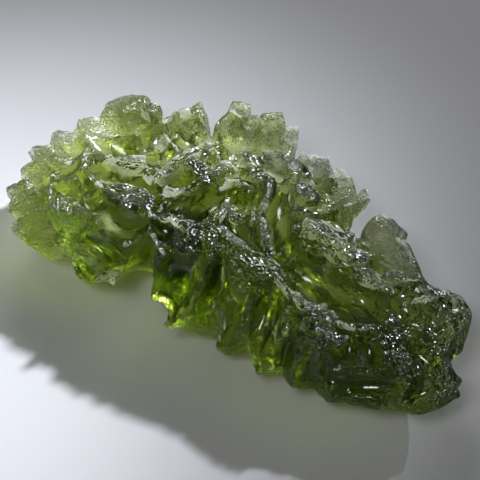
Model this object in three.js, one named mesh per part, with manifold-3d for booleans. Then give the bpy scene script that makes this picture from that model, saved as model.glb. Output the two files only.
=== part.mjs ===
// A tektite of the spiky, deeply etched kind, resting on its underside.
// Millimetres, +X along the stone, +Z up. The stone is a smooth pebble less the scoops etched out of it,
// with plates of its old skin left standing between them.
import * as THREE from 'three';
import { mergeVertices } from 'three/addons/utils/BufferGeometryUtils.js';
import Module from 'manifold-3d';

// ---- the pebble -------------------------------------------------------------------------------
const MIDDLE_Y = 1.5;
const RIM_HEIGHT = 4.9;
const RIM_TILT = 0.1;
const TOP_RISE = 5.2;
const END_DROP = 0.38;
const HALF_LENGTH = 21;
const BELLY_DROP = 5.8;
const TOP_PLAN_POWER = 2.4;
const TOP_RISE_POWER = 0.55;
const BELLY_PLAN_POWER = 2.8;
const BELLY_DROP_POWER = 0.75;
const TEETH_BEGIN = 0.6;
const TOP_RINGS = [0.5, 0.85, 1];
const BELLY_RINGS = [0.8, 0.45];

// the smooth plan outline the stone would have without its teeth, anticlockwise from the right end
const SMOOTH_RIM = [
  [21.5, -3.2], [19.9, 2.2], [16.6, 4.5], [9.6, 7.2], [5.8, 9.4], [1.2, 11.2], [-4.3, 13.0],
  [-8.8, 12.6], [-12.6, 11.0], [-17.4, 8.9], [-20.0, 4.4], [-20.9, -1.0], [-19.4, -5.2],
  [-14.0, -8.2], [-8.5, -9.0], [-0.3, -9.0], [7.5, -8.9], [13.8, -8.3], [19.5, -6.6],
];

// tips and notches of the toothed rim in plan, the same way round
const TOOTHED_RIM = [
  [21.5, -3.4], [20.8, -2.0], [19.2, -1.2], [19.5, 0.4], [19.0, 2.2], [18.6, 3.4], [17.2, 4.2],
  [15.6, 4.6], [13.6, 4.4], [11.5, 6.2], [10.6, 6.2], [9.2, 7.6], [5.6, 5.7], [6.3, 9.4], [5.0, 9.0],
  [4.0, 10.2], [3.1, 9.4], [1.4, 11.2], [0.2, 10.8], [-1.3, 9.2], [-2.4, 12.2], [-3.4, 11.6],
  [-4.6, 13.0], [-6.2, 11.4], [-7.4, 12.6], [-9.0, 12.2], [-8.4, 9.2], [-11.2, 11.0], [-12.4, 9.6],
  [-13.0, 8.8], [-14.6, 9.2], [-14.6, 8.6], [-16.2, 9.2], [-17.6, 8.6], [-18.6, 6.8], [-17.4, 4.8],
  [-19.4, 4.2], [-18.6, 2.6], [-20.4, 2.0], [-19.2, 0.4], [-20.9, -0.6], [-19.6, -1.6],
  [-20.2, -2.8], [-18.6, -3.2], [-19.8, -4.8], [-18.4, -5.2], [-18.6, -6.2], [-16.6, -6.2],
  [-16.6, -7.8], [-14.6, -8.4], [-10.9, -6.9], [-9.8, -8.4], [-8.2, -9.0], [-6.6, -8.6],
  [-2.8, -8.0], [-0.6, -9.2], [1.9, -6.9], [3.0, -8.5], [4.2, -8.8], [6.0, -7.3], [7.6, -9.1],
  [9.0, -7.6], [10.4, -8.9], [12.1, -7.4], [13.8, -8.4], [15.0, -7.6], [17.8, -6.8], [17.0, -6.1],
  [19.8, -6.2], [20.9, -4.9],
];

// ---- scoops placed one by one -----------------------------------------------------------------
// each row: deepest point x, y, z; way out as azimuth and elevation; turn of the long axis
// (90 runs down the slope); half length, half width, half depth
const LEFT_LOBE_PITS = [
  [-12.8, 1.8, 6.2, 5, 86, 90, 4.2, 1.8, 3.2],
  [-15.6, 4.9, 6.3, -60, 66, 0, 3.1, 2.5, 3.4],
  [-9.8, -1.7, 6.4, -4, 84, 90, 3.9, 1.45, 3.0],
  [-7.6, -4.2, 6.0, -100, 70, 0, 3.0, 2.1, 3.2],
  [-7.4, -6.3, 4.9, -100, 52, 0, 3.0, 1.5, 2.8],
  [-10.7, -4.0, 6.3, -110, 74, 90, 2.8, 1.0, 2.6],
  [-16.8, -0.4, 6.2, 170, 72, 90, 2.2, 1.3, 2.6],
  [-16.3, -3.3, 5.8, 190, 66, 90, 2.3, 1.3, 2.6],
  [-13.5, -3.6, 6.0, 200, 84, 90, 2.0, 1.3, 2.4],
  [-12.4, -5.8, 5.2, -120, 58, 90, 2.6, 1.3, 2.4],
  [-14.4, -7.2, 4.6, -122, 45, 90, 3.0, 1.9, 2.8],
  [-17.2, -5.8, 4.6, -150, 45, 90, 3.0, 1.8, 2.6],
  [-19.2, -2.6, 5.5, 190, 50, 90, 2.2, 1.2, 2.5],
  [-18.9, 0.6, 6.0, 170, 62, 90, 2.2, 1.2, 2.5],
  [-17.4, 3.0, 6.5, 150, 66, 90, 2.4, 1.1, 2.5],
  [-8.6, -7.9, 4.3, -100, 40, 0, 2.8, 1.6, 2.2],
];
const MIDDLE_PITS = [
  [-3.6, 7.4, 8.8, 0, 86, 90, 0.8, 0.7, 1.1],
  [-8.6, 1.9, 6.4, 110, 84, 90, 2.4, 1.2, 2.8],
  [-5.9, 0.8, 6.6, 55, 85, 90, 2.6, 1.4, 2.8],
  [-4.9, -2.2, 7.2, 60, 85, 90, 1.7, 0.9, 2.2],
  [-2.7, -1.1, 6.6, 62, 86, 90, 2.7, 1.6, 2.9],
  [0.0, 0.7, 7.4, 40, 85, 90, 2.0, 1.1, 2.4],
  [1.7, -2.1, 7.8, -16, 85, 90, 2.4, 1.05, 2.4],
  [-3.3, 2.4, 7.2, 60, 85, 90, 1.9, 1.2, 2.4],
  [-11.4, 4.6, 6.0, 100, 78, 90, 2.8, 1.5, 3.0],
  [-13.0, 7.2, 6.0, 105, 52, 90, 2.6, 1.3, 2.4],
  [-9.0, 7.0, 6.0, -65, 66, 0, 2.2, 1.9, 2.8],
  [-7.2, 4.2, 6.6, 85, 84, 90, 2.0, 1.3, 2.6],
  [-6.0, 9.0, 6.1, -60, 64, 0, 1.9, 2.1, 2.8],
  [-2.9, 10.2, 6.2, -60, 62, 0, 2.3, 2.3, 2.8],
  [-3.9, 5.8, 6.6, 20, 84, 90, 2.4, 1.5, 2.6],
  [-0.5, 3.6, 7.3, 50, 84, 90, 1.8, 1.2, 2.4],
  [-0.6, 7.3, 6.0, 12, 82, 90, 3.6, 1.4, 2.8],
];
const RIGHT_PITS = [
  [3.2, 0.6, 6.2, -56, 84, 90, 3.9, 2.0, 3.8],
  [9.2, -2.6, 5.9, -6, 84, 90, 5.2, 2.3, 3.8],
  [5.0, 3.1, 6.8, -10, 82, 90, 2.0, 1.4, 2.6],
  [7.6, 3.2, 5.8, 60, 62, 90, 3.2, 1.9, 2.8],
  [3.2, 5.9, 6.2, -40, 70, 0, 2.2, 1.5, 2.6],
  [3.8, 8.2, 6.2, -60, 64, 0, 2.2, 1.8, 2.8],
  [0.8, 10.2, 6.2, -60, 64, 0, 1.7, 1.8, 2.6],
  [9.7, 4.6, 5.7, -10, 66, 90, 2.6, 1.4, 2.6],
  [12.2, 3.6, 5.9, 20, 62, 90, 2.2, 1.2, 2.6],
  [10.6, 1.9, 6.2, 60, 72, 90, 2.6, 1.9, 2.6],
  [13.8, 1.8, 5.7, 40, 70, 90, 2.6, 1.5, 2.6],
  [12.1, -1.7, 6.3, -31, 75, 107, 2.9, 1.8, 3.4],
  [15.0, -0.2, 5.9, -7, 71, 91, 2.3, 1.5, 3.0],
  [17.3, 0.2, 5.7, -22, 66, 86, 2.2, 1.3, 3.0],
  [16.8, 2.5, 5.9, 20, 70, 80, 2.0, 1.5, 3.0],
  [14.8, 3.8, 5.4, 60, 62, 0, 2.4, 1.5, 2.4],
  [17.6, -2.7, 5.2, -29, 68, 108, 2.8, 1.1, 2.6],
  [14.6, -4.2, 6.9, -44, 66, 20, 3.2, 1.5, 4.0],
  [19.8, -3.6, 5.3, -30, 70, 90, 1.9, 0.9, 2.4],
];
const NEAR_CLIFF_FLUTES = [
  [-5.3, -3.6, 3.8, -76, 5, 90, 5.0, 1.6, 6.0],
  [-1.0, -6.6, 4.9, -92, 42, 90, 4.8, 2.3, 3.6],
  [1.9, -5.6, 5.2, -80, 40, 90, 3.8, 1.1, 2.6],
  [3.6, -6.6, 4.4, -88, 42, 90, 4.6, 1.7, 3.2],
  [6.2, -5.8, 5.4, -70, 46, 90, 3.6, 1.2, 2.6],
  [8.4, -7.0, 4.4, -84, 42, 90, 4.4, 1.9, 3.2],
  [11.6, -7.8, 4.0, -70, 34, 90, 3.6, 1.7, 2.8],
  [15.6, -6.4, 4.7, -64, 50, 8, 4.0, 1.7, 3.2],
  [18.9, -5.5, 4.7, -52, 56, 20, 2.6, 1.2, 2.6],
];
const RIM_NOTCHES = [
  [-13.3, 7.7, 5.8, 112, 40, 90, 4.0, 0.8, 2.6],
  [-8.3, 8.4, 5.6, 112, 40, 90, 4.0, 0.8, 3.4],
  [-11.0, 8.9, 7.5, 171, 35, 59, 5.0, 1.7, 1.7],
  [-7.9, 9.7, 7.5, 171, 35, 59, 5.0, 1.2, 1.4],
  [-1.4, 9.3, 5.4, 85, 40, 90, 4.0, 1.0, 3.4],
  [5.6, 5.0, 5.2, 35, 50, 90, 4.0, 1.2, 3.0],
  [2.2, -6.2, 3.6, -85, 5, 90, 5.0, 1.1, 2.6],
];
const LARGE_SCOOP_DETAIL = 1;
const SMALL_SCOOP_DETAIL = 0;

// ---- plates of old skin left standing between the pits ------------------------------------------
// each row: middle of the flat top x, y, z; the way it faces as azimuth and elevation; turn of its
// long axis; half length, half width, half depth
const SKIN_PLATES = [
  [-13.4, -0.6, 7.9, 156, 72, 114, 1.7, 0.8, 2.0],
  [-10.5, -0.1, 8.6, 165, 76, 113, 1.5, 0.7, 2.0],
  [-8.2, -3.0, 8.5, 140, 80, 128, 2.6, 1.5, 2.4],
  [-15.1, -3.0, 7.0, 147, 67, 115, 2.1, 0.9, 1.8],
  [-12.3, -5.4, 7.0, 137, 77, 123, 2.1, 1.2, 2.2],
  [-1.7, -4.5, 8.4, -129, 77, 65, 1.6, 1.4, 2.4],
  [2.3, -3.0, 8.9, 59, 78, 22, 2.6, 0.6, 2.4],
  [2.6, -3.4, 8.3, -159, 85, 89, 1.5, 0.6, 2.0],
  [3.6, -5.1, 7.8, -121, 74, 65, 0.9, 1.0, 2.2],
  [9.0, -4.6, 8.0, 32, 74, 48, 1.6, 0.6, 2.4],
  [11.2, -4.9, 7.3, 10, 78, 52, 2.4, 1.3, 3.0],
  [11.2, -5.0, 6.6, 40, 82, 55, 1.3, 0.9, 2.4],
  [7.8, 0.2, 9.1, -31, 81, 166, 1.3, 0.6, 2.2],
  [9.7, 0.8, 8.9, 20, 81, 95, 1.4, 0.6, 2.2],
  [3.5, 4.1, 9.6, 49, 78, 38, 1.4, 1.0, 2.0],
  [-4.8, 1.7, 9.4, 110, 83, 148, 2.1, 0.7, 2.8],
  [-2.9, 3.0, 9.6, -68, 81, 33, 2.0, 0.7, 2.8],
  [-0.7, 3.5, 9.7, 81, 80, 1, 1.7, 0.8, 2.8],
  [-15.0, 6.4, 7.7, 158, 88, 8, 1.5, 0.7, 1.4],
  [-13.4, 6.7, 8.0, -153, 82, 105, 0.8, 0.8, 1.6],
  [9.6, 6.6, 7.0, 20, 62, 90, 1.5, 0.9, 2.8],
];
const PLATE_LEVEL = 0.35;
const PLATE_DETAIL = 0;

// ---- scoops strewn over the rest ----------------------------------------------------------------
const BELLY_SPREAD = { side: -1, step: 4.2, seed: 2100, width: 2.5, bite: 2.4, reach: 0.9, until: 11 };
const BELLY_RIM_THICKNESS = 0.9;
const CROWN_SPREAD = { side: 1, step: 3.1, seed: 900, width: 1.15, bite: 0.8, reach: 0.86, until: 22 };

const RADIANS = Math.PI / 180;
const GLASS_GREEN = 0x5f7d2a;

const wasm = await Module();
wasm.setup();

// A repeatable number between 0 and 1 for a scoop and a use.
function chance(index, use) {
  const value = Math.sin(index * 12.9898 + use * 78.233) * 43758.5453;
  return value - Math.floor(value);
}

// Angle and radius of plan points about the middle, in order of angle and closed at both ends.
function polarTable(points) {
  const table = points.map(([x, y]) => {
    const dy = y - MIDDLE_Y;
    return [Math.atan2(dy, x), Math.hypot(x, dy)];
  });
  table.sort((a, b) => a[0] - b[0]);
  const [firstAngle, firstRadius] = table[0];
  const [lastAngle, lastRadius] = table[table.length - 1];
  table.unshift([lastAngle - 2 * Math.PI, lastRadius]);
  table.push([firstAngle + 2 * Math.PI, firstRadius]);
  return table;
}

function radiusAt(table, angle) {
  const wrapped = Math.atan2(Math.sin(angle), Math.cos(angle));
  let i = 1;
  while (table[i][0] < wrapped) {
    i++;
  }
  const [a0, r0] = table[i - 1];
  const [a1, r1] = table[i];
  return r0 + (r1 - r0) * (wrapped - a0) / (a1 - a0);
}

const smoothCurve = new THREE.CatmullRomCurve3(
  SMOOTH_RIM.map(([x, y]) => new THREE.Vector3(x, y, 0)), true, 'catmullrom', 0.5,
);
const smoothTable = polarTable(smoothCurve.getPoints(456).slice(1).map((p) => [p.x, p.y]));
const toothedTable = polarTable(TOOTHED_RIM);

function smoothRadius(angle) {
  return radiusAt(smoothTable, angle);
}

// Plan radius at a share of the way out: smooth inside, growing into the teeth at the rim.
function blendedRadius(angle, share) {
  const t = Math.max(0, (share - TEETH_BEGIN) / (1 - TEETH_BEGIN));
  const ease = t * t * (3 - 2 * t);
  const smooth = smoothRadius(angle);
  return share * (smooth + (radiusAt(toothedTable, angle) - smooth) * ease);
}

function rimHeight(y) {
  return RIM_HEIGHT + RIM_TILT * (y - MIDDLE_Y);
}

function topRise(x) {
  return TOP_RISE * (1 - END_DROP * (x / HALF_LENGTH) ** 2);
}

function toSolid(geometry) {
  const bare = new THREE.BufferGeometry();
  bare.setAttribute('position', geometry.getAttribute('position'));
  if (geometry.index) {
    bare.setIndex(geometry.index);
  }
  const joined = mergeVertices(bare, 1e-4);
  const mesh = new wasm.Mesh({
    numProp: 3,
    vertProperties: new Float32Array(joined.getAttribute('position').array),
    triVerts: new Uint32Array(joined.index.array),
  });
  return new wasm.Manifold(mesh);
}

function topHeight(x, y, share) {
  return rimHeight(y) + topRise(x) * (1 - share ** TOP_PLAN_POWER) ** TOP_RISE_POWER;
}

function bellyHeight(y, share) {
  return rimHeight(y) - BELLY_DROP * (1 - share ** BELLY_PLAN_POWER) ** BELLY_DROP_POWER;
}

// The pebble as rings of points: down the crown to the toothed rim and on under the belly.
function makePebble() {
  const angles = toothedTable.slice(1, -1).map(([angle]) => angle);
  const spokes = angles.length;
  const points = [0, MIDDLE_Y, topHeight(0, MIDDLE_Y, 0)];
  const levels = [
    ...TOP_RINGS.map((share) => [share, topHeight]),
    ...BELLY_RINGS.map((share) => [share, (x, y, s) => bellyHeight(y, s)]),
  ];
  for (const [share, heightAt] of levels) {
    for (const angle of angles) {
      const radius = blendedRadius(angle, share);
      const x = radius * Math.cos(angle);
      const y = MIDDLE_Y + radius * Math.sin(angle);
      points.push(x, y, heightAt(x, y, share));
    }
  }
  points.push(0, MIDDLE_Y, bellyHeight(MIDDLE_Y, 0));
  const index = [];
  const lowest = 1 + levels.length * spokes;
  for (let i = 0; i < spokes; i++) {
    const j = (i + 1) % spokes;
    index.push(0, 1 + i, 1 + j);
    for (let ring = 0; ring + 1 < levels.length; ring++) {
      const upper = 1 + ring * spokes;
      const lower = upper + spokes;
      index.push(upper + i, lower + i, lower + j);
      index.push(upper + i, lower + j, upper + j);
    }
    const last = lowest - spokes;
    index.push(last + i, lowest, last + j);
  }
  const geometry = new THREE.BufferGeometry();
  geometry.setAttribute('position', new THREE.Float32BufferAttribute(points, 3));
  geometry.setIndex(index);
  return toSolid(geometry);
}

function wayOut(azimuth, climb) {
  const a = azimuth * RADIANS;
  const e = climb * RADIANS;
  return new THREE.Vector3(Math.cos(a) * Math.cos(e), Math.sin(a) * Math.cos(e), Math.sin(e));
}

// An oval whose middle lies a share of its half depth out from the given point.
function makeOval([x, y, z, azimuth, climb, turn, length, width, depth], share, detail) {
  const out = wayOut(azimuth, climb);
  const across = new THREE.Vector3(-out.y, out.x, 0).normalize();
  const along = new THREE.Vector3().crossVectors(out, across);
  const t = turn * RADIANS;
  const lengthAxis = across.clone().multiplyScalar(Math.cos(t)).addScaledVector(along, Math.sin(t));
  const widthAxis = across.clone().multiplyScalar(-Math.sin(t)).addScaledVector(along, Math.cos(t));
  const middle = new THREE.Vector3(x, y, z).addScaledVector(out, share * depth);
  const geometry = new THREE.IcosahedronGeometry(1, detail);
  geometry.scale(length, width, depth);
  geometry.applyMatrix4(new THREE.Matrix4().makeBasis(lengthAxis, widthAxis, out));
  geometry.translate(middle.x, middle.y, middle.z);
  return toSolid(geometry);
}

// An oval stump cut flat at the given point.
function makePlate(row) {
  const [x, y, z, azimuth, climb] = row;
  const out = wayOut(azimuth, climb);
  const level = out.dot(new THREE.Vector3(x, y, z));
  return makeOval(row, -PLATE_LEVEL, PLATE_DETAIL).trimByPlane([-out.x, -out.y, -out.z], -level);
}

// Height of the pebble's skin above a plan point, or nothing outside the given share of the rim.
function skinHeight(x, y, side, reach) {
  const dy = y - MIDDLE_Y;
  const share = Math.hypot(x, dy) / smoothRadius(Math.atan2(dy, x));
  if (share >= reach) {
    return null;
  }
  return side > 0 ? topHeight(x, y, share) : Math.max(bellyHeight(y, share), 0);
}

// Rows for scoops on a loose triangular grid over the crown or the belly, as far as x = until.
function strewScoops({ side, step, seed, width, bite, reach, until }) {
  const rows = [];
  let index = seed;
  for (let row = 0; row * step * 0.87 < 26; row++) {
    for (let column = 0; column * step + (row % 2) * step / 2 < 45; column++) {
      index++;
      const x = -22 + (row % 2) * step / 2 + column * step + (chance(index, 1) - 0.5) * step * 0.7;
      const y = -11 + row * step * 0.87 + (chance(index, 2) - 0.5) * step * 0.7;
      const z = skinHeight(x, y, side, reach);
      if (z === null || x > until) {
        continue;
      }
      const out = new THREE.Vector3(0.2 * x, 0.7 * (y - MIDDLE_Y), z - 5).normalize();
      const azimuth = Math.atan2(out.y, out.x) / RADIANS;
      const climb = Math.asin(out.z) / RADIANS;
      const half = width * (0.75 + 0.5 * chance(index, 3));
      const long = half * (1 + 0.7 * chance(index, 4));
      let deep = bite * (0.6 + 0.8 * chance(index, 5));
      if (side < 0) {
        const room = (rimHeight(y) - BELLY_RIM_THICKNESS - z) / Math.max(0.3, -out.z);
        deep = Math.min(deep, room);
      }
      if (deep < 0.4) {
        continue;
      }
      const depth = Math.max(deep + 0.5, half * 1.1);
      rows.push([
        x - deep * out.x, y - deep * out.y, z - deep * out.z,
        azimuth, climb, 360 * chance(index, 6), long, half, depth,
      ]);
    }
  }
  return rows;
}

function cutScoops(solid, rows, detail) {
  let left = solid;
  for (const row of rows) {
    left = left.subtract(makeOval(row, 1, detail));
  }
  return left;
}

function makeStone() {
  const ground = new THREE.BoxGeometry(80, 60, 20);
  ground.translate(0, 0, -10);
  let stone = makePebble().subtract(toSolid(ground));
  const placed = [LEFT_LOBE_PITS, MIDDLE_PITS, RIGHT_PITS, NEAR_CLIFF_FLUTES, RIM_NOTCHES];
  for (const rows of placed) {
    stone = cutScoops(stone, rows, LARGE_SCOOP_DETAIL);
  }
  stone = cutScoops(stone, strewScoops(BELLY_SPREAD), SMALL_SCOOP_DETAIL);
  stone = cutScoops(stone, strewScoops(CROWN_SPREAD), SMALL_SCOOP_DETAIL);
  for (const row of SKIN_PLATES) {
    stone = stone.add(makePlate(row));
  }
  return stone;
}

const mesh = makeStone().getMesh();
const geometry = new THREE.BufferGeometry();
geometry.setAttribute('position', new THREE.BufferAttribute(mesh.vertProperties, 3));
geometry.setIndex(new THREE.BufferAttribute(mesh.triVerts, 1));
geometry.computeBoundingBox();
const middle = geometry.boundingBox.getCenter(new THREE.Vector3());
geometry.translate(-middle.x, -middle.y, -geometry.boundingBox.min.z);
const glass = new THREE.MeshStandardMaterial({ color: GLASS_GREEN, roughness: 0.25 });
const stone = new THREE.Mesh(geometry, glass);
stone.name = 'moldavite';
const part = new THREE.Group();
part.add(stone);

export default part;
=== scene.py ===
"""A moldavite: green natural glass, etched into scooped pits, sharp ridges and a toothed rim.

The stone is worked out in millimetres as a solid field: a smooth pebble, less the scoops etched out of it,
with plates of old skin left standing between them and small chips along the ridges. The field is then
turned into a mesh that keeps its sharp ridges, and scaled to metres in the CAD frame.
"""

import math

import bpy
import numpy as np
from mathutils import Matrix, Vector


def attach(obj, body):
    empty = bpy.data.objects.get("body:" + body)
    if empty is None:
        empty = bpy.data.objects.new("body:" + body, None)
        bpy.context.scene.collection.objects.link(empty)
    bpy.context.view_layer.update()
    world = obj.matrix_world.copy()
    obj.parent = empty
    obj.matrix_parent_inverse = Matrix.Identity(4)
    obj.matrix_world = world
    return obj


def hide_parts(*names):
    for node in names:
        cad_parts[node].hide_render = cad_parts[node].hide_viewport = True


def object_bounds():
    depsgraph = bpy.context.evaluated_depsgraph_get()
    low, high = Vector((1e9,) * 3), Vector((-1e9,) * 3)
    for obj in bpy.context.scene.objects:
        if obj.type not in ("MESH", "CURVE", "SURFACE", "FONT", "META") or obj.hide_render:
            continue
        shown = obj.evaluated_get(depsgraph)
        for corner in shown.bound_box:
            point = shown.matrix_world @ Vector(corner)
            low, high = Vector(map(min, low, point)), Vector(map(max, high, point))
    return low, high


MM = 0.001

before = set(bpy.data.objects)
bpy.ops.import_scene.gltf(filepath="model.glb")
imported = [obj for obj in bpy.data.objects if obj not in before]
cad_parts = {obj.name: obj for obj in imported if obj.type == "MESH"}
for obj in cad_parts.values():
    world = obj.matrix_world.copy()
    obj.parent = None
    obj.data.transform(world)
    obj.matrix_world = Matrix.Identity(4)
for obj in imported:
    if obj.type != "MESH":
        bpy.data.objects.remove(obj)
cad_low, cad_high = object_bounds()

# ---- the pebble, in mm --------------------------------------------------------------------------
MIDDLE_Y = 1.5
RIM_HEIGHT = 4.9
RIM_TILT = 0.1              # rise of the rim for each mm of y
TOP_RISE = 5.2              # of the crown over the rim
END_DROP = 0.38             # share of that rise which is lost at the ends
HALF_LENGTH = 21.0
BELLY_DROP = 5.8            # of the belly under the rim
TOP_PLAN_POWER = 2.4
TOP_RISE_POWER = 0.55
BELLY_PLAN_POWER = 2.8
BELLY_DROP_POWER = 0.75
TEETH_BEGIN = 0.6           # share of the rim from which the outline's teeth show

# the smooth plan outline that the stone would have without its teeth, anticlockwise from the right end
SMOOTH_RIM = [
    (21.5, -3.2), (19.9, 2.2), (16.6, 4.5), (9.6, 7.2), (5.8, 9.4), (1.2, 11.2), (-4.3, 13.0),
    (-8.8, 12.6), (-12.6, 11.0), (-17.4, 8.9), (-20.0, 4.4), (-20.9, -1.0), (-19.4, -5.2),
    (-14.0, -8.2), (-8.5, -9.0), (-0.3, -9.0), (7.5, -8.9), (13.8, -8.3), (19.5, -6.6),
]

# tips and notches of the toothed rim in plan, the same way round
TOOTHED_RIM = [
    (21.5, -3.4), (20.8, -2.0), (19.2, -1.2), (19.5, 0.4), (19.0, 2.2), (18.6, 3.4), (17.2, 4.2),
    (15.6, 4.6), (13.6, 4.4), (11.5, 6.2), (10.6, 6.2), (9.2, 7.6), (5.6, 5.7), (6.3, 9.4), (5.0, 9.0),
    (4.0, 10.2), (3.1, 9.4), (1.4, 11.2), (0.2, 10.8), (-1.3, 9.2), (-2.4, 12.2), (-3.4, 11.6),
    (-4.6, 13.0), (-6.2, 11.4), (-7.4, 12.6), (-9.0, 12.2), (-8.4, 9.2), (-11.2, 11.0), (-12.4, 9.6),
    (-13.0, 8.8), (-14.6, 9.2), (-14.6, 8.6), (-16.2, 9.2), (-17.6, 8.6), (-18.6, 6.8), (-17.4, 4.8),
    (-19.4, 4.2), (-18.6, 2.6), (-20.4, 2.0), (-19.2, 0.4), (-20.9, -0.6), (-19.6, -1.6),
    (-20.2, -2.8), (-18.6, -3.2), (-19.8, -4.8), (-18.4, -5.2), (-18.6, -6.2), (-16.6, -6.2),
    (-16.6, -7.8), (-14.6, -8.4), (-10.9, -6.9), (-9.8, -8.4), (-8.2, -9.0), (-6.6, -8.6),
    (-2.8, -8.0), (-0.6, -9.2), (1.9, -6.9), (3.0, -8.5), (4.2, -8.8), (6.0, -7.3), (7.6, -9.1),
    (9.0, -7.6), (10.4, -8.9), (12.1, -7.4), (13.8, -8.4), (15.0, -7.6), (17.8, -6.8), (17.0, -6.1),
    (19.8, -6.2), (20.9, -4.9),
]

# ---- scoops placed one by one, in mm and degrees ------------------------------------------------
# each row: deepest point x, y, z; way out as azimuth and climb; turn of the long axis (90 runs down
# the slope); half length, half width, half depth
LEFT_LOBE_PITS = [
    (-12.8, 1.8, 6.2, 5, 86, 90, 4.2, 1.8, 3.2),
    (-15.6, 4.9, 6.3, -60, 66, 0, 3.1, 2.5, 3.4),
    (-9.8, -1.7, 6.4, -4, 84, 90, 3.9, 1.45, 3.0),
    (-7.6, -4.2, 6.0, -100, 70, 0, 3.0, 2.1, 3.2),
    (-7.4, -6.3, 4.9, -100, 52, 0, 3.0, 1.5, 2.8),
    (-10.7, -4.0, 6.3, -110, 74, 90, 2.8, 1.0, 2.6),
    (-16.8, -0.4, 6.2, 170, 72, 90, 2.2, 1.3, 2.6),
    (-16.3, -3.3, 5.8, 190, 66, 90, 2.3, 1.3, 2.6),
    (-13.5, -3.6, 6.0, 200, 84, 90, 2.0, 1.3, 2.4),
    (-12.4, -5.8, 5.2, -120, 58, 90, 2.6, 1.3, 2.4),
    (-14.4, -7.2, 4.6, -122, 45, 90, 3.0, 1.9, 2.8),
    (-17.2, -5.8, 4.6, -150, 45, 90, 3.0, 1.8, 2.6),
    (-19.2, -2.6, 5.5, 190, 50, 90, 2.2, 1.2, 2.5),
    (-18.9, 0.6, 6.0, 170, 62, 90, 2.2, 1.2, 2.5),
    (-17.4, 3.0, 6.5, 150, 66, 90, 2.4, 1.1, 2.5),
    (-8.6, -7.9, 4.3, -100, 40, 0, 2.8, 1.6, 2.2),
]
MIDDLE_PITS = [
    (-3.6, 7.4, 8.8, 0, 86, 90, 0.8, 0.7, 1.1),
    (-8.6, 1.9, 6.4, 110, 84, 90, 2.4, 1.2, 2.8),
    (-5.9, 0.8, 6.6, 55, 85, 90, 2.6, 1.4, 2.8),
    (-4.9, -2.2, 7.2, 60, 85, 90, 1.7, 0.9, 2.2),
    (-2.7, -1.1, 6.6, 62, 86, 90, 2.7, 1.6, 2.9),
    (0.0, 0.7, 7.4, 40, 85, 90, 2.0, 1.1, 2.4),
    (1.7, -2.1, 7.8, -16, 85, 90, 2.4, 1.05, 2.4),
    (-3.3, 2.4, 7.2, 60, 85, 90, 1.9, 1.2, 2.4),
    (-11.4, 4.6, 6.0, 100, 78, 90, 2.8, 1.5, 3.0),
    (-13.0, 7.2, 6.0, 105, 52, 90, 2.6, 1.3, 2.4),
    (-9.0, 7.0, 6.0, -65, 66, 0, 2.2, 1.9, 2.8),
    (-7.2, 4.2, 6.6, 85, 84, 90, 2.0, 1.3, 2.6),
    (-6.0, 9.0, 6.1, -60, 64, 0, 1.9, 2.1, 2.8),
    (-2.9, 10.2, 6.2, -60, 62, 0, 2.3, 2.3, 2.8),
    (-3.9, 5.8, 6.6, 20, 84, 90, 2.4, 1.5, 2.6),
    (-0.5, 3.6, 7.3, 50, 84, 90, 1.8, 1.2, 2.4),
    (-0.6, 7.3, 6.0, 12, 82, 90, 3.6, 1.4, 2.8),
]
RIGHT_PITS = [
    (3.2, 0.6, 6.2, -56, 84, 90, 3.9, 2.0, 3.8),
    (9.2, -2.6, 5.9, -6, 84, 90, 5.2, 2.3, 3.8),
    (5.0, 3.1, 6.8, -10, 82, 90, 2.0, 1.4, 2.6),
    (7.6, 3.2, 5.8, 60, 62, 90, 3.2, 1.9, 2.8),
    (3.2, 5.9, 6.2, -40, 70, 0, 2.2, 1.5, 2.6),
    (3.8, 8.2, 6.2, -60, 64, 0, 2.2, 1.8, 2.8),
    (0.8, 10.2, 6.2, -60, 64, 0, 1.7, 1.8, 2.6),
    (9.7, 4.6, 5.7, -10, 66, 90, 2.6, 1.4, 2.6),
    (12.2, 3.6, 5.9, 20, 62, 90, 2.2, 1.2, 2.6),
    (10.6, 1.9, 6.2, 60, 72, 90, 2.6, 1.9, 2.6),
    (13.8, 1.8, 5.7, 40, 70, 90, 2.6, 1.5, 2.6),
    (12.1, -1.7, 6.3, -31, 75, 107, 2.9, 1.8, 3.4),
    (15.0, -0.2, 5.9, -7, 71, 91, 2.3, 1.5, 3.0),
    (17.3, 0.2, 5.7, -22, 66, 86, 2.2, 1.3, 3.0),
    (16.8, 2.5, 5.9, 20, 70, 80, 2.0, 1.5, 3.0),
    (14.8, 3.8, 5.4, 60, 62, 0, 2.4, 1.5, 2.4),
    (17.6, -2.7, 5.2, -29, 68, 108, 2.8, 1.1, 2.6),
    (14.6, -4.2, 6.9, -44, 66, 20, 3.2, 1.5, 4.0),
    (19.8, -3.6, 5.3, -30, 70, 90, 1.9, 0.9, 2.4),
]
NEAR_CLIFF_FLUTES = [
    (-5.3, -3.6, 3.8, -76, 5, 90, 5.0, 1.6, 6.0),
    (-1.0, -6.6, 4.9, -92, 42, 90, 4.8, 2.3, 3.6),
    (1.9, -5.6, 5.2, -80, 40, 90, 3.8, 1.1, 2.6),
    (3.6, -6.6, 4.4, -88, 42, 90, 4.6, 1.7, 3.2),
    (6.2, -5.8, 5.4, -70, 46, 90, 3.6, 1.2, 2.6),
    (8.4, -7.0, 4.4, -84, 42, 90, 4.4, 1.9, 3.2),
    (11.6, -7.8, 4.0, -70, 34, 90, 3.6, 1.7, 2.8),
    (15.6, -6.4, 4.7, -64, 50, 8, 4.0, 1.7, 3.2),
    (18.9, -5.5, 4.7, -52, 56, 20, 2.6, 1.2, 2.6),
]
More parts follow.
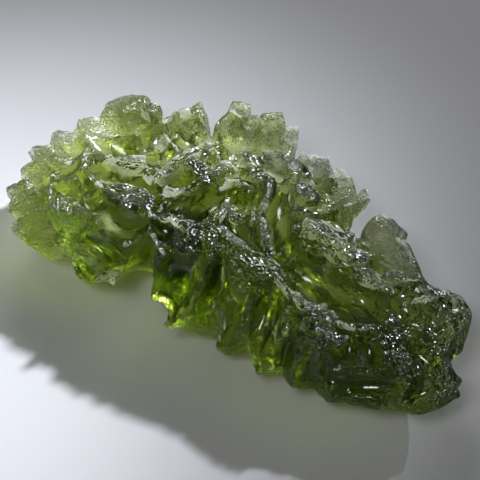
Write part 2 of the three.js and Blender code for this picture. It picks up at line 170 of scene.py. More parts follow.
RIM_NOTCHES = [
    (-13.3, 7.7, 5.8, 112, 40, 90, 4.0, 0.8, 2.6),
    (-8.3, 8.4, 5.6, 112, 40, 90, 4.0, 0.8, 3.4),
    (-11.0, 8.9, 7.5, 171, 35, 59, 5.0, 1.7, 1.7),
    (-7.9, 9.7, 7.5, 171, 35, 59, 5.0, 1.2, 1.4),
    (-1.4, 9.3, 5.4, 85, 40, 90, 4.0, 1.0, 3.4),
    (5.6, 5.0, 5.2, 35, 50, 90, 4.0, 1.2, 3.0),
    (2.2, -6.2, 3.6, -85, 5, 90, 5.0, 1.1, 2.6),
]

# ---- plates of old skin left standing between the pits ------------------------------------------
# each row: middle of the flat top x, y, z; the way it faces as azimuth and climb; turn of its long
# axis; half length, half width, half depth
SKIN_PLATES = [
    (-13.4, -0.6, 7.9, 156, 72, 114, 1.7, 0.8, 2.0),
    (-10.5, -0.1, 8.6, 165, 76, 113, 1.5, 0.7, 2.0),
    (-8.2, -3.0, 8.5, 140, 80, 128, 2.6, 1.5, 2.4),
    (-15.1, -3.0, 7.0, 147, 67, 115, 2.1, 0.9, 1.8),
    (-12.3, -5.4, 7.0, 137, 77, 123, 2.1, 1.2, 2.2),
    (-1.7, -4.5, 8.4, -129, 77, 65, 1.6, 1.4, 2.4),
    (2.3, -3.0, 8.9, 59, 78, 22, 2.6, 0.6, 2.4),
    (2.6, -3.4, 8.3, -159, 85, 89, 1.5, 0.6, 2.0),
    (3.6, -5.1, 7.8, -121, 74, 65, 0.9, 1.0, 2.2),
    (1.2, 2.0, 9.7, 17, 68, 11, 2.2, 0.35, 2.8),
    (3.5, -1.2, 9.4, 18, 68, 27, 2.2, 0.4, 2.8),
    (5.8, -3.6, 8.7, 11, 66, 41, 2.0, 0.45, 2.8),
    (8.0, -5.7, 7.2, -9, 57, 55, 1.9, 0.4, 2.6),
    (9.0, -4.6, 8.0, 32, 74, 48, 1.6, 0.6, 2.4),
    (11.2, -4.9, 7.3, 10, 78, 52, 2.4, 1.3, 3.0),
    (11.2, -5.0, 6.6, 40, 82, 55, 1.3, 0.9, 2.4),
    (7.8, 0.2, 9.1, -31, 81, 166, 1.3, 0.6, 2.2),
    (9.7, 0.8, 8.9, 20, 81, 95, 1.4, 0.6, 2.2),
    (12.1, 0.4, 8.3, 32, 72, 52, 1.3, 0.5, 2.0),
    (13.2, 1.5, 8.1, 24, 75, 86, 0.9, 0.5, 2.0),
    (3.5, 4.1, 9.6, 49, 78, 38, 1.4, 1.0, 2.0),
    (4.4, 2.5, 9.2, 37, 85, 71, 1.2, 0.5, 2.0),
    (5.4, 1.0, 9.0, 47, 81, 39, 0.9, 0.5, 2.0),
    (-6.9, 1.5, 9.2, -48, 77, 32, 2.2, 0.5, 2.6),
    (-4.8, 1.7, 9.4, 110, 83, 148, 2.1, 0.7, 2.8),
    (-2.9, 3.0, 9.6, -68, 81, 33, 2.0, 0.7, 2.8),
    (-0.7, 3.5, 9.7, 81, 80, 1, 1.7, 0.8, 2.8),
    (-0.5, -0.4, 9.2, 28, 72, 21, 1.3, 0.4, 2.6),
    (0.8, -0.8, 9.3, 170, 87, 119, 1.8, 0.4, 2.6),
    (-15.0, 6.4, 7.7, 158, 88, 8, 1.5, 0.7, 1.4),
    (-13.4, 6.7, 8.0, -153, 82, 105, 0.8, 0.8, 1.6),
    (9.6, 6.6, 7.0, 20, 62, 90, 1.5, 0.9, 2.8),
]
PLATE_LEVEL = 0.35          # how far an oval's middle lies under the flat top, in half depths
PLATE_ROUNDING = 0.2        # width of the bend where a plate meets the stone
PLATE_SKIN_DEPTH = 0.6      # how far the old skin reaches down a plate's sides

# ---- scoops strewn over the rest ----------------------------------------------------------------
# side 1 is the crown and -1 the belly; scoops go out to the given reach of the rim, and to x = until
BELLY_SPREAD = dict(side=-1, step=4.2, seed=2100, width=2.5, bite=2.4, reach=0.9, until=11)
CROWN_SPREAD = dict(side=1, step=3.1, seed=900, width=1.15, bite=0.8, reach=0.86, until=22)
BELLY_RIM_THICKNESS = 0.9   # what the belly's scoops leave standing under the rim
BELLY_LEAST_DROP = 0.3
SPREAD_CORNER = (-22, -11)
SPREAD_SIZE = (45, 26)
SPREAD_ROW_STEP = 0.87      # distance between rows, as a share of the step along them
SPREAD_SWAY = 0.7           # range over which a scoop strays from its place, as a share of the step
SPREAD_LEAN = (0.2, 0.7)    # how much the way out of a scoop leans along x and y
SPREAD_LEVEL = 5            # height in the stone from which the ways out fan out
LEAST_BITE = 0.4
DEPTH_OVER_BITE = 0.5       # a scoop's half depth is at least this much more than its bite
DEPTH_PER_WIDTH = 1.1       # and at least this many times its half width
# the least and the spread of what each scoop draws
WIDTH_SHARE = (0.75, 0.5)
LENGTH_SHARE = (1, 0.7)
BITE_SHARE = (0.6, 0.8)

# ---- fine etching, on the mesh alone ------------------------------------------------------------
WARP_WAVES = [(7.0, 0.12), (2.6, 0.025)]    # wavelength and height of each set of waves
WARP_REACH = 1.5 * sum(height for _, height in WARP_WAVES)
WAVES_EACH = 5
WARP_SEED = 11
RIDGE_ROUNDING = 0.26
RIM_ROUNDING = 0.10
RIM_ROUNDING_FROM = (0.62, 0.92)            # shares of the rim between which the one turns into the other
BELLY_SHARPNESS = 0.25
CHIP_SHARPNESS = 3.0
CHIP_SPACING = 1.0
CHIP_WIDTH = (0.45, 0.95)
CHIP_BITE = (0.06, 0.2)
CHIP_LENGTH_SHARE = (1, 0.8)
LOWEST_CHIP = 0.4

# ---- field and mesh -----------------------------------------------------------------------------
GRID_LOW = np.array([-22.3, -10.4, -0.9])
GRID_HIGH = np.array([22.9, 14.4, 11.7])
COARSE_CELL = 0.5
FINE_CELL = 0.2
SHARE_ROUNDS = 6            # rounds in which the share of the rim settles
FIELD_SLOPE = 0.75          # brings the pebble's field near to a distance
CORNER_PULL = 0.08          # pull of a mesh corner towards the middle of its cell's crossings
CELL_MARGIN = 0.02          # what a corner keeps off its cell's sides, as a share of the cell
SHARP_ANGLE = math.radians(40)
RIDGE_FROST = 0.7           # frost on the ridges, where old skin has 1
TEETH_FROM = (0.7, 0.92)    # shares of the rim between which the thin teeth set in
TEETH_FAR_SIDE = (-1.0, 3.0)        # values of y between which they set in
TEETH_LEFT_END = (-10.0, -15.0)     # values of x between which they set in
TEETH_STOP = (17.0, 12.0)           # values of x between which they set in, from the tapered end
# added to lengths so that none is divided by 0
TINY_LENGTH = 1e-9
TINY_SLOPE = 1e-12


def chance(index, use):
    """A repeatable number between 0 and 1 for a scoop and a use."""
    value = math.sin(index * 12.9898 + use * 78.233) * 43758.5453
    return value - math.floor(value)


def drawn(index, use, least, spread):
    """A repeatable number between the least and the least plus the spread."""
    return least + spread * chance(index, use)


def ramp(value, start, end):
    """0 before the start and 1 past the end, with a straight rise between them."""
    return np.clip((value - start) / (end - start), 0, 1)


def polar_table(points):
    """Angle and radius of plan points about the middle, in order of angle and closed at both ends."""
    plan = np.array(points) - (0, MIDDLE_Y)
    angle = np.arctan2(plan[:, 1], plan[:, 0])
    radius = np.hypot(plan[:, 0], plan[:, 1])
    order = np.argsort(angle)
    angle, radius = angle[order], radius[order]
    turn = 2 * math.pi
    return np.r_[angle[-1] - turn, angle, angle[0] + turn], np.r_[radius[-1], radius, radius[0]]


def smooth_curve(tips, steps=24):
    """Points on the closed Catmull-Rom curve through the tips."""
    tips = np.array(tips)
    before, after, beyond = np.roll(tips, 1, 0), np.roll(tips, -1, 0), np.roll(tips, -2, 0)
    points = []
    for t in np.arange(steps) / steps:
        points.append(0.5 * (
            2 * tips + (after - before) * t
            + (2 * before - 5 * tips + 4 * after - beyond) * t ** 2
            + (3 * tips - before - 3 * after + beyond) * t ** 3
        ))
    return np.concatenate(points)


SMOOTH_TABLE = polar_table(smooth_curve(SMOOTH_RIM))
TOOTHED_TABLE = polar_table(TOOTHED_RIM)


def rim_height(y):
    return RIM_HEIGHT + RIM_TILT * (y - MIDDLE_Y)


def top_rise(x):
    """Height of the pebble's crown over its rim, in the middle of its width."""
    return TOP_RISE * (1 - END_DROP * (x / HALF_LENGTH) ** 2)


def rim_share(x, y):
    """How far out a plan point lies: 0 in the middle and 1 on the toothed rim."""
    radius = np.hypot(x, y - MIDDLE_Y)
    angle = np.arctan2(y - MIDDLE_Y, x)
    smooth = np.interp(angle, *SMOOTH_TABLE)
    toothed = np.interp(angle, *TOOTHED_TABLE)
    share = radius / smooth
    for _ in range(SHARE_ROUNDS):
        t = ramp(share, TEETH_BEGIN, 1)
        ease = t * t * (3 - 2 * t)
        share = 0.5 * share + 0.5 * radius / (smooth + (toothed - smooth) * ease)
    return share


def signed_power(value, power):
    return np.sign(value) * np.abs(value) ** power


def pebble(points):
    """Negative inside the uncut pebble, roughly the distance outside it."""
    x, y, z = points[..., 0], points[..., 1], points[..., 2]
    share = rim_share(x, y)
    middle = rim_height(y)
    above = z - middle - top_rise(x) * signed_power(1 - share ** TOP_PLAN_POWER, TOP_RISE_POWER)
    below = middle - z - BELLY_DROP * signed_power(1 - share ** BELLY_PLAN_POWER, BELLY_DROP_POWER)
    return FIELD_SLOPE * np.maximum(above, below)


class Ovals:
    """Ovals as arrays: centres, axes, half sizes and the boxes that hold them."""

    def __init__(self, rows):
        rows = np.array(rows, float)
        azimuth, climb, turn = np.radians(rows[:, 3:6]).T
        out = np.stack([np.cos(azimuth) * np.cos(climb), np.sin(azimuth) * np.cos(climb), np.sin(climb)], 1)
        across = np.stack([-np.sin(azimuth), np.cos(azimuth), 0 * azimuth], 1)
        along = np.cross(out, across)
        cos, sin = np.cos(turn)[:, None], np.sin(turn)[:, None]
        self.axes = np.stack([cos * across + sin * along, cos * along - sin * across, out], 1)
        self.sizes = rows[:, 6:9]
        self.centres = rows[:, :3] + self.sizes[:, 2:] * out
        self.reach = np.sqrt(((self.axes * self.sizes[:, :, None]) ** 2).sum(1))

    def __len__(self):
        return len(self.centres)

    def depth(self, which, points):
        """How deep points lie in an oval: above 0 inside, below 0 outside."""
        offset = points - self.centres[which]
        local = np.einsum('...ij,...j->...i', self.axes[which], offset) / self.sizes[which]
        near = np.sqrt((local ** 2).sum(-1)) + TINY_LENGTH
        slope = np.sqrt(((local / self.sizes[which]) ** 2).sum(-1)) + TINY_LENGTH
        return near * (1 - near) / slope


def skin_plates():
    """The plates as ovals that reach up past their flat tops, and the middles of those tops."""
    plates = Ovals(SKIN_PLATES)
    out, depth = plates.axes[:, 2], plates.sizes[:, 2:]
    tops = plates.centres - depth * out
    plates.centres = tops - PLATE_LEVEL * depth * out
    return plates, tops


def skin_height(x, y, side, reach):
    """Height of the pebble's skin over a plan point, or None outside the given share of the rim."""
    angle = math.atan2(y - MIDDLE_Y, x)
    share = math.hypot(x, y - MIDDLE_Y) / float(np.interp(angle, *SMOOTH_TABLE))
    if share >= reach:
        return None
    if side > 0:
        return rim_height(y) + top_rise(x) * (1 - share ** TOP_PLAN_POWER) ** TOP_RISE_POWER
    return max(0.0, rim_height(y) - BELLY_DROP * (1 - share ** BELLY_PLAN_POWER) ** BELLY_DROP_POWER)


def strew_scoops(side, step, seed, width, bite, reach, until):
    """Rows for scoops on a loose triangular grid over the crown or the belly, as far as x = until."""
    rows = []
    index = seed
    left, near = SPREAD_CORNER
    over_x, over_y = SPREAD_SIZE
    lean_x, lean_y = SPREAD_LEAN
    for row in range(math.ceil(over_y / (step * SPREAD_ROW_STEP))):
        shift = (row % 2) * step / 2
        for column in range(math.ceil((over_x - shift) / step)):
            index += 1
            x = left + shift + column * step + (chance(index, 1) - 0.5) * step * SPREAD_SWAY
            y = near + row * step * SPREAD_ROW_STEP + (chance(index, 2) - 0.5) * step * SPREAD_SWAY
            z = skin_height(x, y, side, reach)
            if z is None or x > until:
                continue
            out = Vector((lean_x * x, lean_y * (y - MIDDLE_Y), z - SPREAD_LEVEL)).normalized()
            azimuth = math.degrees(math.atan2(out.y, out.x))
            climb = math.degrees(math.asin(out.z))
            half = width * drawn(index, 3, *WIDTH_SHARE)
            long = half * drawn(index, 4, *LENGTH_SHARE)
            deep = bite * drawn(index, 5, *BITE_SHARE)
            if side < 0:
                room = (rim_height(y) - BELLY_RIM_THICKNESS - z) / max(BELLY_LEAST_DROP, -out.z)
                deep = min(deep, room)
            if deep < LEAST_BITE:
                continue
            depth = max(deep + DEPTH_OVER_BITE, half * DEPTH_PER_WIDTH)
            point = Vector((x, y, z)) - deep * out
            rows.append((*point, azimuth, climb, 360 * chance(index, 6), long, half, depth))
    return rows


def wave_set():
    """Directions, phases and pushes of the slow waves that bend the scoops out of true."""
    random = np.random.default_rng(WARP_SEED)
    waves = []
    for wavelength, height in WARP_WAVES:
        for _ in range(WAVES_EACH):
            way = random.normal(size=3)
            way *= 2 * math.pi / wavelength / np.linalg.norm(way)
            push = random.normal(size=3)
            push *= height / np.linalg.norm(push)
            waves.append((way, random.uniform(0, 2 * math.pi), push))
    return waves


WAVES = wave_set()


def warp(points):
    moved = points.copy()
    for way, phase, push in WAVES:
        swing = np.sin(points @ way + phase)
        moved += swing[..., None] * push
    return moved


class Stone:
    """The stone as a solid field on a grid: negative inside, with its old skin and its ridges marked."""

    def __init__(self, cell):
        self.cell = cell
        self.count = np.ceil((GRID_HIGH - GRID_LOW) / cell).astype(int) + 1
        lines = [GRID_LOW[i] + cell * np.arange(self.count[i]) for i in range(3)]
        self.grid = np.stack(np.meshgrid(*lines, indexing='ij'), -1)
        self.bent = warp(self.grid)
        self.value = pebble(self.bent)
        outness = ramp(rim_share(self.grid[..., 0], self.grid[..., 1]), *RIM_ROUNDING_FROM)
        self.rounding = RIDGE_ROUNDING + (RIM_ROUNDING - RIDGE_ROUNDING) * outness
        self.skin = np.ones(self.value.shape)
        self.ridge = np.zeros(self.value.shape)

    def box(self, ovals, which, bent=True):
        """The part of the grid that an oval can reach."""
        margin = 2 * self.cell + (WARP_REACH if bent else 0)
        low = (ovals.centres[which] - ovals.reach[which] - margin - GRID_LOW) / self.cell
        high = (ovals.centres[which] + ovals.reach[which] + margin - GRID_LOW) / self.cell
        low = np.clip(np.floor(low).astype(int), 0, self.count)
        high = np.clip(np.ceil(high).astype(int) + 1, 0, self.count)
        return tuple(slice(a, b) for a, b in zip(low, high))

    def cut(self, scoops, sharpness=1.0, bent=True):
        """Takes every scoop out of the stone and rounds the ridges, less where it is sharper."""
        points = self.bent if bent else self.grid
        for k in range(len(scoops)):
            part = self.box(scoops, k, bent)
            value, rounding = self.value[part], self.rounding[part] / sharpness
            depth = scoops.depth(k, points[part])
            share = np.clip(0.5 + 0.5 * (depth - value) / rounding, 0, 1)
            meeting = share * (1 - share)
            self.value[part] = value + (depth - value) * share + rounding * meeting
            self.skin[part] *= 1 - share
            self.ridge[part] = np.maximum(self.ridge[part] * (1 - share), 4 * meeting)

    def add_plates(self, plates, tops):
        """Adds oval stumps with flat tops, which keep the skin."""
        for k in range(len(plates)):
            part = self.box(plates, k)
            points, value = self.bent[part], self.value[part]
            above = (points - tops[k]) @ plates.axes[k][2]
            plate = np.maximum(-plates.depth(k, points), above)
            share = np.clip(0.5 + 0.5 * (value - plate) / PLATE_ROUNDING, 0, 1)
            self.value[part] = value + (plate - value) * share - PLATE_ROUNDING * share * (1 - share)
            skin = np.clip(1 + above / PLATE_SKIN_DEPTH, 0, 1)
            self.skin[part] += (skin - self.skin[part]) * share
            self.ridge[part] *= 1 - share

    def cut_ground(self):
        self.value = np.maximum(self.value, -self.grid[..., 2])

    def frost(self, points, ridge_frost):
        """How frosted the surface is at points: 1 on old skin, the given share on ridges."""
        skin, ridge = sample(self.skin, points, self.cell), sample(self.ridge, points, self.cell)
        return np.maximum(skin, ridge_frost * ridge)


def sample(grid, points, cell):
    """Values of a grid at points between its corners."""
    place = (points - GRID_LOW) / cell
    base = np.clip(np.floor(place).astype(int), 0, np.array(grid.shape) - 2)
    share = place - base
    total = np.zeros(len(points))
    for corner in np.ndindex(2, 2, 2):
        weight = np.prod(np.where(corner, share, 1 - share), 1)
        total += weight * grid[tuple((base + corner).T)]
    return total


# cells round a grid edge along each axis, in order round the edge
ROUND_EDGE = [
    [(0, 0, 0), (0, -1, 0), (0, -1, -1), (0, 0, -1)],
    [(0, 0, 0), (0, 0, -1), (-1, 0, -1), (-1, 0, 0)],
    [(0, 0, 0), (-1, 0, 0), (-1, -1, 0), (0, -1, 0)],
]


def crossings(stone):
    """Points where grid edges cross the surface, the four cells round each, and those cells as a face."""
    value, cell, shape = stone.value, stone.cell, stone.value.shape
    points, cells, quads = [], [], []
    for axis in range(3):
        first = [slice(None)] * 3
        last = [slice(None)] * 3
        first[axis], last[axis] = slice(0, -1), slice(1, None)
        crossed = np.argwhere((value[tuple(first)] < 0) != (value[tuple(last)] < 0))
        sides = [i for i in range(3) if i != axis]
        inner = (crossed[:, sides] > 0) & (crossed[:, sides] < np.array(shape)[sides] - 1)
        crossed = crossed[inner.all(1)]
        beyond = crossed.copy()
        beyond[:, axis] += 1
        start, end = value[tuple(crossed.T)], value[tuple(beyond.T)]
        point = GRID_LOW + cell * crossed
        point[:, axis] += cell * start / (start - end)
        around = np.stack([crossed + offset for offset in ROUND_EDGE[axis]], 1)
        around = np.ravel_multi_index(tuple(np.moveaxis(around, 2, 0)), shape)
        leaving = (start < 0)[:, None]
        points.append(point)
        cells.append(around)
        quads.append(np.where(leaving, around, around[:, ::-1]))
    return np.concatenate(points), np.concatenate(cells), np.concatenate(quads)


def unit(vectors):
    return vectors / (np.linalg.norm(vectors, axis=1, keepdims=True) + TINY_SLOPE)


def contour(stone):
    """Dual contouring: a corner in each cell that the surface crosses, where the faces round it meet.

    Gives the corners, the four-sided faces between them, and the way out of the stone at each corner.
    """
    cell, shape = stone.cell, stone.value.shape
    points, cells, quads = crossings(stone)
    slopes = unit(np.stack([sample(rise, points, cell) for rise in np.gradient(stone.value, cell)], 1))
    used, place = np.unique(cells.ravel(), return_inverse=True)
    place = place.ravel()
    count = np.bincount(place).astype(float)
    points, slopes = np.repeat(points, 4, 0), np.repeat(slopes, 4, 0)
    mean = np.stack([np.bincount(place, points[:, i]) for i in range(3)], 1) / count[:, None]
    lift = ((points - mean[place]) * slopes).sum(1)
    matrix = np.zeros((len(used), 3, 3))
    side = np.zeros((len(used), 3))
    for i in range(3):
        side[:, i] = np.bincount(place, slopes[:, i] * lift)
        for j in range(3):
            matrix[:, i, j] = np.bincount(place, slopes[:, i] * slopes[:, j])
    matrix += CORNER_PULL * np.eye(3)
    corners = mean + np.linalg.solve(matrix, side[..., None])[..., 0]
    low = GRID_LOW + cell * np.stack(np.unravel_index(used, shape), 1)
    corners = np.clip(corners, low + CELL_MARGIN * cell, low + (1 - CELL_MARGIN) * cell)
    out = unit(np.stack([np.bincount(place, slopes[:, i]) for i in range(3)], 1))
    return corners, np.searchsorted(used, quads), out


def keep_largest(corners, quads, *others):
    """Drops loose crumbs: keeps the one connected surface with the most corners."""
    label = np.arange(len(corners))
    while True:
        lowest = label[quads].min(1)
        fresh = label.copy()
        np.minimum.at(fresh, quads.ravel(), np.repeat(lowest, 4))
        fresh = fresh[fresh]
        if (fresh == label).all():
            break
        label = fresh
    names, sizes = np.unique(label, return_counts=True)
    kept = label == names[sizes.argmax()]
    number = np.cumsum(kept) - 1
    quads = number[quads[kept[quads[:, 0]]]]
    return corners[kept], quads, *[other[kept] for other in others]


def chip_rows(corners, out, rough):
    """Rows for small chips, more of them the rougher the surface is: on the ridges and the old skin."""
    small, large = CHIP_WIDTH
    shallow, full = CHIP_BITE
    cells = np.floor(corners / CHIP_SPACING).astype(int)
    _, first = np.unique(cells, axis=0, return_index=True)
    rows = []
    for index in np.sort(first):
        point, way = corners[index], out[index]
        if point[2] < LOWEST_CHIP or rough[index] < chance(index, 5):
            continue
        half = small + (large - small) * chance(index, 1) ** 2
        deep = drawn(index, 2, shallow, full - shallow)
        long = half * drawn(index, 3, *CHIP_LENGTH_SHARE)
        azimuth = math.degrees(math.atan2(way[1], way[0]))
        climb = math.degrees(math.asin(max(-1.0, min(1.0, way[2]))))
        rows.append((*(point - deep * way), azimuth, climb, 360 * chance(index, 4), long, half, half))
    return rows


def tooth_share(corners):
    """1 on the thin teeth of the far rim and the left end, falling to 0 inside and on the near side."""
    x, y = corners[:, 0], corners[:, 1]
    side = np.maximum(ramp(y, *TEETH_FAR_SIDE), ramp(x, *TEETH_LEFT_END))
    return ramp(rim_share(x, y), *TEETH_FROM) * side * ramp(x, *TEETH_STOP)


def carve(cell, belly, pits):
    """The stone on a grid of the given cell: the pebble less its scoops, with its plates."""
    stone = Stone(cell)
    stone.cut(belly, BELLY_SHARPNESS)
    stone.cut(pits)
    stone.add_plates(*skin_plates())
    return stone


def new_mesh(name, corners, quads):
    mesh = bpy.data.meshes.new(name)
    mesh.vertices.add(len(corners))
    mesh.vertices.foreach_set("co", corners.ravel())
    mesh.loops.add(quads.size)
    mesh.loops.foreach_set("vertex_index", quads.ravel())
    mesh.polygons.add(len(quads))
    mesh.polygons.foreach_set("loop_start", np.arange(0, quads.size, 4))
    mesh.update(calc_edges=True)
    mesh.validate()
    mesh.shade_smooth()
    mesh.set_sharp_from_angle(angle=SHARP_ANGLE)
    return mesh


def make_stone():
    placed = LEFT_LOBE_PITS + MIDDLE_PITS + RIGHT_PITS + NEAR_CLIFF_FLUTES + RIM_NOTCHES
    pits = Ovals(placed + strew_scoops(**CROWN_SPREAD))
    belly = Ovals(strew_scoops(**BELLY_SPREAD))
    coarse = carve(COARSE_CELL, belly, pits)
    corners, _, out = contour(coarse)
    chips = Ovals(chip_rows(corners, out, coarse.frost(corners, 1)))
    fine = carve(FINE_CELL, belly, pits)
    fine.cut(chips, CHIP_SHARPNESS, bent=False)
    fine.cut_ground()
    corners, quads, _ = contour(fine)
    frost, toothed = fine.frost(corners, RIDGE_FROST), tooth_share(corners)
    corners, quads, frost, toothed = keep_largest(corners, quads, frost, toothed)
    tips = np.array(TOOTHED_RIM)
    corners = corners + (cad_low.x / MM - tips[:, 0].min(), cad_high.y / MM - tips[:, 1].max(), 0)
    mesh = new_mesh("moldavite_glass", corners * MM, quads)
    for name, values in (("frost", np.maximum(frost, toothed)), ("toothed", toothed)):
        mesh.attributes.new(name, 'FLOAT', 'POINT').data.foreach_set("value", values.astype(np.float32))
    piece = bpy.data.objects.new("stone", mesh)
    bpy.context.scene.collection.objects.link(piece)
    return piece


# ---- finish -------------------------------------------------------------------------------------
GLASS_IOR = 1.49
GLASS_SPECULAR = 0.9
GLASS_DENSITY = 940.0                   # absorption per metre, times 1 less the colour
GLASS_COLOUR = (0.75, 0.79, 0.48, 1)
SCOOP_ROUGHNESS = 0.14
FROST_ROUGHNESS = 0.26
UNDERSIDE_ROUGHNESS = 0.8
UNDERSIDE_FROM = 0.2                    # upward part of the normal from which the underside sets in
UNDERSIDE_FULL = -0.2

# bumps: patterns per mm and heights in mm
GRAIN_SCALE = 4.2
GRAIN_SMOOTHNESS = 0.2
GRAIN_HEIGHT = 0.20
STRIPE_ACROSS = Vector((0.23, 0.81, 0.54)).normalized()
STRIPE_SCALES = (2.6, 0.35, 0.35)       # across the stripes, and along them twice
STRIPE_DETAIL = 2.0
STRIPE_HEIGHT = 0.42
FLOW_SCALE = 0.8
FLOW_DISTORTION = 3.0
FLOW_DETAIL = 3.0
FLOW_DETAIL_SCALE = 0.8
FLOW_STRENGTH = 0.12
FLOW_HEIGHT = 0.03

PAPER_COLOUR = (0.36, 0.36, 0.372, 1)
PAPER_ROUGHNESS = 0.9


def new_material(name):
    material = bpy.data.materials.new(name)
    material.use_nodes = True
    tree = material.node_tree
    return material, tree.nodes, tree.links, tree.nodes["Principled BSDF"]


def node(nodes, kind, settings=None, **inputs):
    """A new shader node with its settings and the values of its named inputs."""
    made = nodes.new(kind)
    for name, value in (settings or {}).items():
        setattr(made, name, value)
    for name, value in inputs.items():
        made.inputs[name.replace("_", " ")].default_value = value
    return made


def combine(nodes, links, operation, first, second):
    made = node(nodes, "ShaderNodeMath", {"operation": operation})
    links.new(first, made.inputs[0])
    links.new(second, made.inputs[1])
    return made.outputs[0]


def bump(nodes, links, pattern, height, strength=1.0, base=None):
    """The normal of a bump whose height is in mm, laid over the normal of another."""
    made = node(nodes, "ShaderNodeBump", Strength=strength, Distance=height * MM)
    links.new(pattern, made.inputs["Height"])
    if base is not None:
        links.new(base, made.inputs["Normal"])
    return made.outputs[0]


def etched_normal(nodes, links, place, frost, toothed):
    """Grain where it is frosted, stripes on the thin teeth, and faint flow lines all over."""
    millimetres = node(nodes, "ShaderNodeMapping", Scale=(1 / MM,) * 3)
    links.new(place, millimetres.inputs["Vector"])

    grain = node(nodes, "ShaderNodeTexVoronoi", {"feature": 'SMOOTH_F1'},
                 Scale=GRAIN_SCALE, Smoothness=GRAIN_SMOOTHNESS)
    links.new(millimetres.outputs[0], grain.inputs["Vector"])
    pattern = combine(nodes, links, 'MULTIPLY', grain.outputs["Distance"], frost)
    normal = bump(nodes, links, pattern, GRAIN_HEIGHT)

    turned = node(nodes, "ShaderNodeMapping",
                  Rotation=STRIPE_ACROSS.rotation_difference(Vector((1, 0, 0))).to_euler())
    links.new(millimetres.outputs[0], turned.inputs["Vector"])
    stretched = node(nodes, "ShaderNodeMapping", Scale=STRIPE_SCALES)
    links.new(turned.outputs[0], stretched.inputs["Vector"])
    stripes = node(nodes, "ShaderNodeTexNoise", Scale=1.0, Detail=STRIPE_DETAIL)
    links.new(stretched.outputs[0], stripes.inputs["Vector"])
    pattern = combine(nodes, links, 'MULTIPLY', stripes.outputs["Fac"], toothed)
    normal = bump(nodes, links, pattern, STRIPE_HEIGHT, base=normal)

    flow = node(nodes, "ShaderNodeTexWave", {"bands_direction": 'DIAGONAL'},
                Scale=FLOW_SCALE, Distortion=FLOW_DISTORTION,
                Detail=FLOW_DETAIL, Detail_Scale=FLOW_DETAIL_SCALE)
    links.new(millimetres.outputs[0], flow.inputs["Vector"])
    return bump(nodes, links, flow.outputs["Fac"], FLOW_HEIGHT, FLOW_STRENGTH, normal)


def etched_roughness(nodes, links, normal, frost):
    """Satin where it is frosted, and dull on the underside."""
    split = node(nodes, "ShaderNodeSeparateXYZ")
    links.new(normal, split.inputs[0])
    under = node(nodes, "ShaderNodeMapRange",
                 From_Min=UNDERSIDE_FROM, From_Max=UNDERSIDE_FULL, To_Min=0.0, To_Max=UNDERSIDE_ROUGHNESS)
    links.new(split.outputs["Z"], under.inputs["Value"])
    satin = node(nodes, "ShaderNodeMapRange", To_Min=SCOOP_ROUGHNESS, To_Max=FROST_ROUGHNESS)
    links.new(frost, satin.inputs["Value"])
    return combine(nodes, links, 'MAXIMUM', under.outputs[0], satin.outputs[0])


def glass():
    material, nodes, links, shader = new_material("green_glass")
    shader.inputs["Base Color"].default_value = (1, 1, 1, 1)
    shader.inputs["Transmission Weight"].default_value = 1.0
    shader.inputs["IOR"].default_value = GLASS_IOR
    shader.inputs["Specular IOR Level"].default_value = GLASS_SPECULAR
    place = node(nodes, "ShaderNodeTexCoord").outputs
    frost = node(nodes, "ShaderNodeAttribute", {"attribute_name": "frost"}).outputs["Fac"]
    toothed = node(nodes, "ShaderNodeAttribute", {"attribute_name": "toothed"}).outputs["Fac"]
    links.new(etched_normal(nodes, links, place["Object"], frost, toothed), shader.inputs["Normal"])
    links.new(etched_roughness(nodes, links, place["Normal"], frost), shader.inputs["Roughness"])
    absorb = node(nodes, "ShaderNodeVolumeAbsorption", Color=GLASS_COLOUR, Density=GLASS_DENSITY)
    links.new(absorb.outputs[0], nodes["Material Output"].inputs["Volume"])
    return material


def paper():
    material, _, _, shader = new_material("paper")
    shader.inputs["Base Color"].default_value = PAPER_COLOUR
    shader.inputs["Roughness"].default_value = PAPER_ROUGHNESS
    return material


# ---- stage, in metres and watts -----------------------------------------------------------------
FLOOR_SIZE = 3.0

KEY_PLACE = (0.0954, 0.3121, 0.2643)
KEY_TARGET = (-0.030, -0.042, 0)
KEY_RADIUS = 0.014
KEY_POWER = 24.5
KEY_CONE = math.radians(11.0)
KEY_SOFT_EDGE = 0.6
KEY_COLOUR = (0.9, 0.93, 1.0)

# name, place, diameter and power
FILL_LIGHTS = [
    ("fill", (-0.19, 0.24, 0.17), 0.12, 0.5),
    ("front", (0.05, -0.23, 0.32), 0.12, 0.6),
]

SKY_COLOUR = (0.92, 0.96, 1.0, 1)
SKY_STRENGTH = 0.035

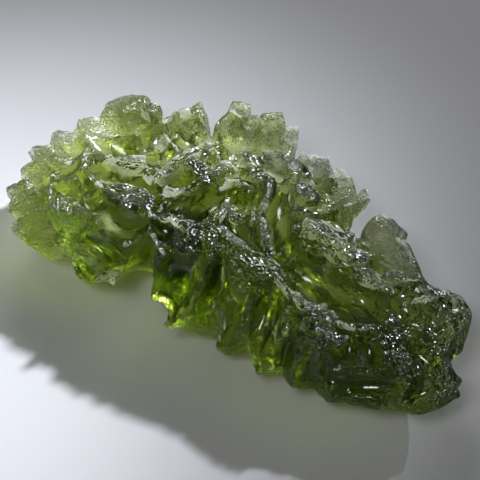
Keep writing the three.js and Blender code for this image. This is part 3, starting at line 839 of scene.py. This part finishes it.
CAMERA_AZIMUTH = math.radians(34.0)
CAMERA_CLIMB = math.radians(45.0)
CAMERA_DISTANCE = 0.14
CAMERA_TARGET = Vector((-0.3, -1.9, 5.0)) * MM
CAMERA_LENS = 135.0
CAMERA_SHIFT = 5 / 480      # as a share of the picture's width
CAMERA_NEAREST = 0.005


def make_floor():
    bpy.ops.mesh.primitive_plane_add(size=FLOOR_SIZE)
    floor = bpy.context.object
    floor.name = "floor"
    floor.data.materials.append(paper())


def place_object(name, data, place, facing):
    """Puts a lamp or the camera in the scene, looking along the given way."""
    placed = bpy.data.objects.new(name, data)
    bpy.context.scene.collection.objects.link(placed)
    placed.location = place
    placed.rotation_mode = 'QUATERNION'
    placed.rotation_quaternion = facing.to_track_quat('-Z', 'Y')
    return placed


def key_light():
    light = bpy.data.lights.new("key", 'SPOT')
    light.shadow_soft_size = KEY_RADIUS
    light.energy = KEY_POWER
    light.spot_size = KEY_CONE
    light.spot_blend = KEY_SOFT_EDGE
    light.color = KEY_COLOUR
    place_object("key", light, KEY_PLACE, Vector(KEY_TARGET) - Vector(KEY_PLACE))


def fill_light(name, place, diameter, power):
    light = bpy.data.lights.new(name, 'AREA')
    light.shape = 'DISK'
    light.size = diameter
    light.energy = power
    place_object(name, light, place, -Vector(place))


def make_world():
    world = bpy.data.worlds.new("studio")
    bpy.context.scene.world = world
    world.use_nodes = True
    background = world.node_tree.nodes["Background"]
    background.inputs["Color"].default_value = SKY_COLOUR
    background.inputs["Strength"].default_value = SKY_STRENGTH


def make_camera():
    level = math.cos(CAMERA_CLIMB)
    back = Vector((
        math.sin(CAMERA_AZIMUTH) * level, -math.cos(CAMERA_AZIMUTH) * level, math.sin(CAMERA_CLIMB),
    ))
    place = CAMERA_TARGET + back * CAMERA_DISTANCE
    camera = place_object("camera", bpy.data.cameras.new("camera"), place, -back)
    camera.data.lens = CAMERA_LENS
    camera.data.shift_y = CAMERA_SHIFT
    camera.data.clip_start = CAMERA_NEAREST
    bpy.context.scene.camera = camera


stone = make_stone()
stone.data.materials.append(glass())
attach(stone, "root")
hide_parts("moldavite")
make_floor()
key_light()
for row in FILL_LIGHTS:
    fill_light(*row)
make_world()
make_camera()
bpy.context.scene.view_settings.view_transform = 'Standard'
